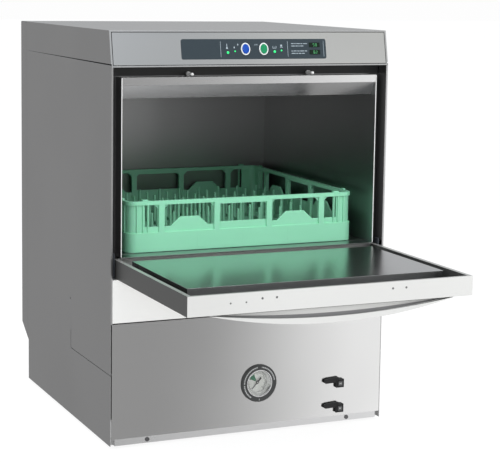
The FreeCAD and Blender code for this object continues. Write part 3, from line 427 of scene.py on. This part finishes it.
def skirt(work, ring_a, ring_b):
    """Faces between two rings of as many points."""
    count = len(ring_a)
    for i in range(count):
        k = (i + 1) % count
        work.faces.new((ring_a[i], ring_a[k], ring_b[k], ring_b[i]))


def bar(work, x0, x1, z0, z1, low, high, place):
    """A slab with a rectangle for its outline."""
    slab(work, [(x0, z0), (x1, z0), (x1, z1), (x0, z1)], low, high, place)


def circle(x, z, radius, count=24):
    turns = [2 * math.pi * i / count for i in range(count)]
    return [(x + radius * math.cos(turn), z + radius * math.sin(turn)) for turn in turns]


def lathe(work, profile, x, z, place, count):
    """Closed solid of revolution: profile is radius and height, from the axis out and back to it."""
    rings = []
    for radius, height in profile:
        if radius < 1e-6:
            rings.append([work.verts.new(place(x, z, height))])
        else:
            rings.append([work.verts.new(place(u, v, height)) for u, v in circle(x, z, radius, count)])
    for a, b in zip(rings, rings[1:]):
        for i in range(count):
            k = (i + 1) % count
            corners = [a[i % len(a)], a[k % len(a)], b[k % len(b)], b[i % len(b)]]
            work.faces.new(list(dict.fromkeys(corners)))


# ---- fascia and its print ---------------------------------------------------------------------
PRINT = 0.82                      # height of the overlay's face over the fascia
INK = 0.06                        # thickness of printed marks
STANDS = 0.5                      # lamps and display windows stand this far over the overlay
LAMPS = ((-57, -7.0, 2.5), (-41.5, -4.4, 1.5), (44.5, -5.5, 2.5),
         (59.5, -3.4, 1.5))                                 # x, up, radius
DISPLAYS = ((133, 7.8, "58"), (133.5, -7.0, "82"))          # x, up, figures
CAPTIONS = ((10.4, (6, 3, 8, 4, 9)), (5.6, (8, 5, 3, 7)),   # up, lengths of the bars
            (-4.4, (3, 7, 5, 9, 5)), (-9.2, (9, 4, 6, 6)))
DROP = ((0, 3.0), (1.4, 0.2), (1.0, -1.2), (0, -1.7), (-1.0, -1.2), (-1.4, 0.2))


def overlay_print():
    """Pictograms, divider lines and display captions as raised ink; no lettering."""
    low, high = PRINT, PRINT + INK

    def line(work, x0, x1, z0, z1):
        bar(work, x0, x1, z0, z1, low, high, on_panel)

    def marks(work):
        for x in (-72, 73.5):
            line(work, x - 0.35, x + 0.35, -16, 15)
        line(work, 153.2, 153.9, -16, 16)
        for z, lengths in CAPTIONS:
            start = 81.5
            for length in lengths:
                line(work, start, start + length, z - 0.75, z + 0.75)
                start += length + 1.4
        slab(work, circle(-58.5, 2.0, 2.0), low, high, on_panel)          # thermometer
        line(work, -59.2, -57.8, 3.6, 10.5)
        for x, z in ((-43, 3.0), (-35, 8.5)):                             # drops
            slab(work, [(x + du, z + dv) for du, dv in DROP], low, high, on_panel)
        for x in (2.5, 6.5):                                              # two arrows, up
            slab(work, [(x - 1.3, 8.4), (x + 1.3, 8.4), (x, 10.6)], low, high, on_panel)
            line(work, x - 0.4, x + 0.4, 6.4, 8.4)
        line(work, 40.5, 48.5, 1.0, 1.9)                                  # basin
        line(work, 40.5, 41.4, 1.9, 6.0)
        line(work, 47.6, 48.5, 1.9, 6.0)
        line(work, 43.2, 45.8, 3.2, 4.0)
        line(work, 56.5, 62.5, 2.6, 3.5)                                  # sliding drawer
        line(work, 57.5, 61.5, 4.6, 8.4)
    piece("overlay_print", marks, "white_plastic", "cabinet",
          material=moulded("print_ink", (0.30, 0.36, 0.40), 0.5, 0.02))


def lamp_lenses():
    """Domed lenses over the four indicator lights."""
    base, rim, dome = PRINT + STANDS, PRINT + STANDS + 0.1, 0.5      # dome is its rise over its radius
    turns = [math.radians(degrees) for degrees in (0, 25, 50, 70)]

    def domes(work):
        for x, z, radius in LAMPS:
            curve = [(radius * math.cos(turn), rim + radius * dome * math.sin(turn)) for turn in turns]
            lathe(work, [(0, base)] + curve + [(0, rim + radius * dome)], x, z, on_panel, 20)
    piece("lamp_lenses", domes, "lamp_green", "cabinet")


# each segment's x and height, and 1 if it lies level
SEGMENTS = {"a": (0.0, 1.0, 1), "b": (0.5, 0.5, 0), "c": (0.5, -0.5, 0), "d": (0.0, -1.0, 1),
            "e": (-0.5, -0.5, 0), "f": (-0.5, 0.5, 0), "g": (0.0, 0.0, 1)}
LIT = {"5": "afgcd", "8": "abcdefg", "2": "abged"}


def display_figures():
    """Two seven-segment figures in each dark window."""
    half_w, half_h, stroke, gap, pitch = 1.5, 2.7, 0.28, 0.3, 5.2
    low, high = PRINT + STANDS, PRINT + STANDS + INK

    def figures(work):
        for middle_x, row, text in DISPLAYS:
            for i, digit in enumerate(text):
                for name in LIT[digit]:
                    du, dv, level = SEGMENTS[name]
                    u, v = middle_x - 1.5 + pitch * i + du * 2 * half_w, row + dv * half_h
                    long_u, long_v = (half_w - gap, stroke) if level else (stroke, half_h / 2 - gap)
                    bar(work, u - long_u, u + long_u, v - long_v, v + long_v, low, high, on_panel)
    piece("display_figures", figures, "lamp_green", "cabinet",
          material=glow("figures", (0.06, 0.34, 0.12), 0.22))


# ---- gauge ------------------------------------------------------------------------------------
GAUGE_X, GAUGE_Z, DIAL_DEPTH, FLANGE_FACE, GAUGE_INK = 18.5, 105.3, 9.0, 4.5, 0.05
SCALE_FIRST, SCALE_SWEEP, SCALE_STEPS = 225, 270, 40        # degrees, the sweep clockwise
SCALE_OUTER, SCALE_RIM = 19.2, (19.3, 19.7)                 # radii
SECTOR_FIRST, SECTOR_STEP, SECTOR_RADII = 112, 4, (4.0, 17.5)
FLANGE_RADII, FLANGE_ARCS = (32.2, 34.6), ((8, 82), (98, 176), (184, 236))


def polar(radius, degrees):
    angle = math.radians(degrees)
    return GAUGE_X + radius * math.cos(angle), GAUGE_Z + radius * math.sin(angle)


def gauge_print():
    """Scale marks on the dial, and the green sector of the working range."""
    face = -DIAL_DEPTH

    def scale(work):
        for i in range(SCALE_STEPS + 1):
            angle = SCALE_FIRST - i * SCALE_SWEEP / SCALE_STEPS
            inner, half = (15.0, 0.9) if i % 5 == 0 else (17.0, 0.45)
            outline = [polar(inner, angle - half * 20 / inner), polar(SCALE_OUTER, angle - half),
                       polar(SCALE_OUTER, angle + half), polar(inner, angle + half * 20 / inner)]
            slab(work, outline, face, face + GAUGE_INK, on_front)
        steps = 48
        inner, outer = ([polar(radius, i * SCALE_SWEEP / steps - 45) for i in range(steps + 1)]
                        for radius in SCALE_RIM)
        slab(work, outer + inner[::-1], face, face + GAUGE_INK, on_front)
    piece("gauge_scale", scale, "black_plastic", "cabinet")

    def sector(work):
        hub, arc = ([polar(radius, SECTOR_FIRST + i * SECTOR_STEP) for i in range(12)]
                    for radius in SECTOR_RADII)
        slab(work, arc + hub[::-1], face, face + 0.04, on_front)
    piece("gauge_sector", sector, "green_plastic", "cabinet",
          material=moulded("sector_green", (0.01, 0.20, 0.09), 0.45, 0.02))

    def dashes(work):
        for angle, last in FLANGE_ARCS:
            while angle < last:
                span = 2.2 + 1.6 * ((angle * 7) % 3)
                near, far = ([polar(radius, angle + span * k / 3) for k in range(4)]
                             for radius in FLANGE_RADII)
                slab(work, near + far[::-1], FLANGE_FACE, FLANGE_FACE + GAUGE_INK, on_front)
                angle += span + 1.5
        tick = [polar(31.6, 269), polar(35.6, 269), polar(35.6, 271), polar(31.6, 271)]
        slab(work, tick, FLANGE_FACE, FLANGE_FACE + GAUGE_INK, on_front)
    piece("gauge_flange_marks", dashes, "white_plastic", "cabinet",
          material=moulded("flange_ink", (0.42, 0.43, 0.43), 0.5, 0.02))


VALVES = ((89.0, "upper_valve_lever"), (36.0, "lower_valve_lever"))
VALVE_X, HUB_FACE = 202.0, 7.4
BADGE_HALF, BADGE_CUT, BADGE_FACE = 5.2, 1.2, HUB_FACE + 1.5


def lever_badges():
    """Grey square inlay with a flow mark on each lever's hub."""
    for z, node in VALVES:
        def inlay(work):
            a, b = BADGE_HALF, BADGE_HALF - BADGE_CUT
            corners = ((-b, -a), (b, -a), (a, -b), (a, b), (b, a), (-b, a), (-a, b), (-a, -b))
            outline = [(VALVE_X + x, z + dz) for x, dz in corners]
            slab(work, outline, HUB_FACE + 0.9, BADGE_FACE, on_front)
            slab(work, circle(VALVE_X, z, 4.9), HUB_FACE - 0.2, HUB_FACE + 0.95, on_front)
        piece(node + "_badge", inlay, "black_plastic", BODY_OF[node], edge=0.2,
              material=moulded("badge_dark", (0.05, 0.05, 0.052), 0.4, 0.05))

        def mark(work):
            for x0, x1, half in ((-2.2, -1.2, 2.2), (1.2, 2.2, 2.2), (-1.2, 1.2, 0.5)):
                bar(work, VALVE_X + x0, VALVE_X + x1, z - half, z + half, BADGE_FACE, BADGE_FACE + INK,
                    on_front)
        piece(node + "_mark", mark, "white_plastic", BODY_OF[node],
              material=moulded("badge_ink", (0.45, 0.45, 0.45), 0.5, 0.02))


# ---- door handle ------------------------------------------------------------------------------
DOOR_REACH, DOOR_BOTTOM = 369.0, 339.5
HANDLE_HALF, HANDLE_DEPTH, HANDLE_LIP, HANDLE_BACK = 250.0, 30.0, 12.0, 13.0
SHADOW_BAND_HEIGHT = 7.0


def handle_strips():
    """Painted shadow: a dark band along the lower back wall of the handle's channel, and a dark strip
    under the door's edge where the gap is shaded.
    """
    behind = DOOR_REACH - HANDLE_BACK + 1.6

    def rim(depth, x):
        radius = (HANDLE_HALF ** 2 + depth ** 2) / (2 * depth)
        return DOOR_BOTTOM - depth + radius - math.sqrt(radius ** 2 - x ** 2)

    # painted shadow: a grey band on the channel's lower back wall, where shade falls
    def shadow_band(work):
        reach, steps = HANDLE_HALF - 12, 48
        xs = [reach * (2 * i / steps - 1) for i in range(steps + 1)]
        floor = HANDLE_DEPTH - HANDLE_LIP + 2
        lower = [(x, rim(floor, x)) for x in xs]
        upper = [(x, rim(floor - SHADOW_BAND_HEIGHT, x)) for x in xs]
        slab(work, lower + upper[::-1], behind, behind + 0.6, on_front)
    piece("handle_shadow_band", shadow_band, "rubber_black", "door",
          material=moulded("handle_shadow_grey", (0.22, 0.22, 0.222), 0.5, 0.08, 700))

    # painted shadow: a black strip along the gap under the door's edge
    def gap(work):
        reach = HANDLE_HALF - 14
        bar(work, -reach, reach, DOOR_BOTTOM - 3.2, DOOR_BOTTOM - 1.9, behind, behind + 0.5, on_front)
    piece("handle_gap_shadow", gap, "rubber_black", "door")


# ---- rack -------------------------------------------------------------------------------------
RACK_LOW, RACK_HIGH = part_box("dish_rack")
RACK_MIDDLE = (Vector(RACK_LOW) + Vector(RACK_HIGH)) / 2 * 1000
RACK_FLOOR, RACK_HALF, RACK_TOP, RACK_BAND = RACK_LOW[2] * 1000, 250.0, 102.0, 39.0
RIB_XS, POST_XS, TAB_X, BEAD_XS = (206, 216, 229), (58, 177), 211, (-100, 0, 100)


def rack_details():
    """Ribs beside the corners, gussets under the rail, stacking tabs on it, and beads down the
    band."""
    def ribs(work):
        for quarter in range(4):
            turn = Matrix.Rotation(math.radians(90 * quarter), 3, "Z")

            def place(u, v, w, turn=turn):
                x, y, z = turn @ Vector((u, -w, v))
                return Vector((mm(RACK_MIDDLE.x + x), mm(RACK_MIDDLE.y + y), mm(RACK_FLOOR + z)))
            for s in (-1, 1):
                for x in RIB_XS:
                    bar(work, s * x - 1.1, s * x + 1.1, RACK_BAND - 2, RACK_TOP - 2, RACK_HALF - 6,
                        RACK_HALF - 0.4, place)
                for post in POST_XS:
                    for side in (-1, 1):
                        x0 = s * post + side * 6
                        gusset = [(x0, RACK_TOP - 8), (x0 + side * 9, RACK_TOP - 8),
                                  (x0, RACK_TOP - 17)]
                        slab(work, gusset, RACK_HALF - 6.5, RACK_HALF - 3.5, place)
                tab = [(s * TAB_X - 7, RACK_TOP), (s * TAB_X + 7, RACK_TOP),
                       (s * TAB_X + 5, RACK_TOP + 3), (s * TAB_X - 5, RACK_TOP + 3)]
                slab(work, tab, RACK_HALF - 6.5, RACK_HALF - 1.5, place)
            for x in BEAD_XS:
                bar(work, x - 0.4, x + 0.4, 1.5, RACK_BAND - 3, RACK_HALF - 0.3, RACK_HALF + 0.15,
                    place)
    piece("rack_ribs", ribs, "rack_green", "rack", edge=0.5)


# ---- recess and seams -------------------------------------------------------------------------
CASE_HALF, RECESS, RECESS_LOW, RECESS_TOP = 298.8, 40.0, 338.5, 748.5
LINING, LINING_REACH = 0.5, 21.0


def recess_lining():
    """Near-black strips in the channel that the closed door fills, at both sides and across the top."""
    def sides(work):
        for s in (-1, 1):
            edge, inside = s * CASE_HALF, s * (CASE_HALF - LINING_REACH)
            back = RECESS - 0.1
            outline = [(edge, 2.0), (edge, back), (inside, back), (inside, back - LINING),
                       (edge - s * LINING, back - LINING), (edge - s * LINING, 2.0)]
            slab(work, outline, RECESS_LOW + 45, RECESS_TOP - 18, lambda u, v, w: on_front(u, w, -v))
    piece("recess_side_linings", sides, "rubber_black", "cabinet",
          material=moulded("side_lining_grey", (0.070, 0.070, 0.070), 0.5, 0.08, 700))

    def across(work):
        reach, back = CASE_HALF - 1, RECESS - 0.1
        bar(work, -reach, reach, RECESS_TOP - 17.5, RECESS_TOP, LINING - back, -back, on_front)
    piece("recess_top_lining", across, "rubber_black", "cabinet",
          material=moulded("lining_grey", (0.032, 0.032, 0.032), 0.5, 0.08, 700))


HOOD_SEAM, HOOD_SEAM_OPENS, SEAM_FRONT, SEAM_BACK = 756.0, 2.6, 3.0, 571.0


def seam_shadow_strips():
    """Black strips in the seam between each side panel and the hood's skirt, which widens towards the
    front: painted shadow where the seam shows as a dark line."""
    def shadow_strips(work):
        top = HOOD_SEAM - 0.02
        # painted shadow: a black wedge filling the seam
        outline = [(SEAM_FRONT, HOOD_SEAM - HOOD_SEAM_OPENS + 0.05), (SEAM_BACK, HOOD_SEAM - 0.3),
                   (SEAM_BACK, top), (SEAM_FRONT, top)]
        for s in (-1, 1):
            slab(work, outline, s * (CASE_HALF + 0.05), s * (CASE_HALF + 0.3),
                 lambda u, v, w: on_front(w, v, -u))
    piece("seam_shadow_strips", shadow_strips, "rubber_black", "cabinet",
          material=moulded("seam_dark", (0.005, 0.005, 0.005), 0.8, 0.08, 700, spec=0.1))


NECK_HALF, NECK_EDGE, NECK_FRONT, NECK_LOW, NECK_TOP = 277.0, 1.5, 6.0, 381.0, 729.0


def neck_edge_highlights():
    """Pale strips on the front edges of the chamber's neck, either side of the opening: painted
    highlight where the edges catch the light.
    """
    def edges(work):
        for s in (-1, 1):
            a, b = sorted((s * (NECK_HALF - NECK_EDGE), s * NECK_HALF))
            bar(work, a, b, NECK_LOW, NECK_TOP, -NECK_FRONT, -NECK_FRONT + 0.15, on_front)
    # painted highlight: the strips take the near-white finish of the front strip
    piece("neck_edge_highlights", edges, "bright_steel", "cabinet", material=NODE_MATERIALS["front_strip"])


# ---- fastenings -------------------------------------------------------------------------------
RIVETS = ((-206, 359, 2.4), (-176, 359, 2.4), (-145, 364, 3.1), (-117, 364, 3.1), (117, 364, 3.1),
          (145, 364, 3.1))                                  # x, z, radius
STUD_X, STUD_Z, NUT_RADIUS = (-129.0, 133.0), 734.6, 4.6


def rivet_heads():
    """Low domed heads on the door's rim, and two hexagons, one turned, as a star nut on each catch
    stud."""
    base, rise = DOOR_REACH - 0.3, 0.3

    def rim_heads(work):
        for x, z, radius in RIVETS:
            profile = [(0, base), (radius, base), (radius, base + rise * 0.4),
                       (radius * 0.8, base + rise * 0.8), (radius * 0.45, base + rise),
                       (0, base + rise)]
            lathe(work, profile, x, z, on_front, 24)
    piece("door_rivet_heads", rim_heads, "bright_steel", BODY_OF["door_screws"],
          material=NODE_MATERIALS["door_screws"])

    def stars(work):
        for x in STUD_X:
            for turn in (0, 30):
                turns = [math.radians(60 * i + turn) for i in range(6)]
                hexagon = [(x + NUT_RADIUS * math.cos(angle), STUD_Z + NUT_RADIUS * math.sin(angle))
                           for angle in turns]
                slab(work, hexagon, -33 - turn / 10, -30 - turn / 10, on_front)
    piece("catch_stud_nuts", stars, "bright_steel", "cabinet", edge=0.3,
          material=NODE_MATERIALS["catch_studs"])


# ---- light and stage --------------------------------------------------------------------------
def make_world():
    """A studio round the object: the colour of the surroundings by direction, low down and high
    up.  The camera itself sees a plain near-white."""
    world = bpy.data.worlds.new("studio")
    world.use_nodes = True
    bpy.context.scene.world = world
    s = Shader(world.node_tree)
    split = s.node("ShaderNodeSeparateXYZ")
    s.link(s.node("ShaderNodeTexCoord").outputs["Generated"], split.inputs[0])
    x, y, z = split.outputs
    turn = s.math("ARCTAN2", x, s.math("MULTIPLY", y, -1.0))      # 0 ahead of the door, + to its right
    around = s.spread(turn, 0, 1, -math.pi, math.pi)

    def ramp(stops):
        """Colour by azimuth; a stop is its degrees and a grey level or a colour."""
        made = s.node("ShaderNodeValToRGB")
        while len(made.color_ramp.elements) < len(stops):
            made.color_ramp.elements.new(0.5)
        for element, (degrees, *colour) in zip(made.color_ramp.elements, stops):
            element.position = (degrees + 180) / 360
            element.color = (*(colour * 3)[:3], 1)
        s.link(around, made.inputs[0])
        return made.outputs[0]
    level = ramp([(-180, 0.40), (-166, 0.31), (-163.5, 0.33), (-161, 0.39), (-156, 0.38),
                  (-140, 0.26), (-100, 0.5), (-50, 0.5), (0, 0.32), (16, 0.38), (20, 0.36),
                  (23.4, 0.25), (25.2, 0.62), (26.8, 1.28), (60, 1.15), (110, 0.7), (150, 0.5),
                  (180, 0.40)])
    above = ramp([(-180, 0.80, 0.83, 0.86), (10, 1.02, 1.07, 1.12), (19.5, 1.08, 1.13, 1.18),
                  (21.5, 0.74, 0.78, 0.82), (25, 0.56, 0.59, 0.61), (26.8, 0.90, 0.91, 0.89),
                  (28.1, 0.98, 0.98, 0.94), (29.4, 0.60, 0.60, 0.55), (40, 0.78, 0.80, 0.80),
                  (180, 0.80, 0.83, 0.86)])
    colour = s.mix(s.spread(z, 0, 1, 0.05, 0.45), level, above)
    background = s.node("ShaderNodeBackground")
    s.link(colour, background.inputs["Color"])
    plain = s.node("ShaderNodeBackground")
    plain.inputs["Color"].default_value = (0.985, 0.985, 0.985, 1)
    pick = s.node("ShaderNodeMixShader")
    s.link(s.node("ShaderNodeLightPath").outputs["Is Camera Ray"], pick.inputs[0])
    s.link(background.outputs[0], pick.inputs[1])
    s.link(plain.outputs[0], pick.inputs[2])
    s.link(pick.outputs[0], s.node("ShaderNodeOutputWorld").inputs[0])


# name, place, width, height, watts, and whether steel mirrors it
AREA_LAMPS = (("key", (1.6, -3.2, 2.4), 1.6, 1.6, 55, False),
              ("overhead", (-0.2, -0.4, 3.4), 2.6, 2.2, 60, True),
              ("fill", (-2.6, -2.2, 1.6), 1.6, 1.6, 25, False))
LAMP_TARGET = (0, 0.05, 0.45)
FLOOR_REACH, FLOOR_DROP = 30.0, 0.0002


def area_lamp(name, place, width, height, watts, mirrored):
    data = bpy.data.lights.new(name, "AREA")
    data.shape, data.size, data.size_y = "RECTANGLE", width, height
    data.energy = watts
    light = bpy.data.objects.new(name, data)
    light.location = place
    aim = Vector(LAMP_TARGET) - Vector(place)
    light.rotation_euler = aim.to_track_quat("-Z", "Y").to_euler()
    light.visible_glossy = mirrored
    bpy.context.scene.collection.objects.link(light)


def make_stage():
    """The lit floor the object stands on, and three area lamps."""
    mesh = bpy.data.meshes.new("floor")
    corners = ((-1, -1), (1, -1), (1, 1), (-1, 1))
    mesh.from_pydata([(x * FLOOR_REACH, y * FLOOR_REACH, FLOOR_Z - FLOOR_DROP) for x, y in corners],
                     [], [(0, 1, 2, 3)])
    floor = bpy.data.objects.new("floor", mesh)
    bpy.context.scene.collection.objects.link(floor)
    made, s = new_material("floor_paint")
    haze = s.noise(0.8, 2.0, 0.5)
    s.surface(Base_Color=s.mix(haze, (0.13, 0.13, 0.13), (0.14, 0.14, 0.14)), Roughness=0.9,
              Specular_IOR_Level=0.0, Emission_Color=(1, 1, 1), Emission_Strength=0.89)
    mesh.materials.append(made)
    floor.visible_glossy = False
    for lamp in AREA_LAMPS:
        area_lamp(*lamp)


bpy.context.scene.view_settings.view_transform = "Standard"
make_camera()
make_world()
make_stage()
dress_nodes()
overlay_print()
lamp_lenses()
display_figures()
gauge_print()
lever_badges()
handle_strips()
rack_details()
recess_lining()
seam_shadow_strips()
neck_edge_highlights()
rivet_heads()
